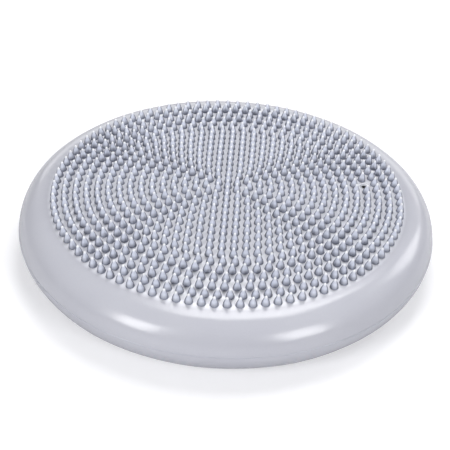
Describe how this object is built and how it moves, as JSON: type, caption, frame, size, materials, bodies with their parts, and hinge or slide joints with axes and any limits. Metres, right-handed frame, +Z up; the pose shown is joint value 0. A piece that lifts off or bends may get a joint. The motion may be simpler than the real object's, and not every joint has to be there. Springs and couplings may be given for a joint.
{
  "type": "wobble cushion",
  "caption": "Round air-filled PVC wobble cushion with massage spikes on its domed upper face, a smooth half-round rim, a flat underside and a needle valve.",
  "frame": {"origin": "on the floor plane, at the middle of the underside", "axes": "+Z up through the spiked face; +Y along one sector line of the spikes; the valve lies near +X"},
  "size_m": [0.3307, 0.3306, 0.0605],
  "materials": {
    "pvc_upper": "semi-gloss soft PVC, pale lavender grey",
    "pvc_lower": "semi-gloss soft PVC, pale lavender grey",
    "pvc_weld": "semi-gloss weld bead",
    "valve_seat_pvc": "smooth satin PVC",
    "valve_rubber": "matte grey rubber"
  },
  "bodies": {
    "base": {"lower_shell": "pvc_lower"},
    "seam": {"weld_seam": "pvc_weld"},
    "face": {"upper_shell": "pvc_upper", "valve_seat": "valve_seat_pvc", "valve_core": "valve_rubber"}
  },
  "joints": [
    {"name": "tilt_side", "type": "hinge", "parent": "base", "child": "seam", "pos_m": [0, 0, 0.024], "axis": [0, 1, 0], "range_deg": [-6, 6], "stiffness_Nm_per_rad": 60, "deforming": ["lower_shell", "weld_seam"]},
    {"name": "tilt_fore_aft", "type": "hinge", "parent": "seam", "child": "face", "pos_m": [0, 0, 0.024], "axis": [1, 0, 0], "range_deg": [-6, 6], "stiffness_Nm_per_rad": 60, "deforming": ["upper_shell"]}
  ]
}
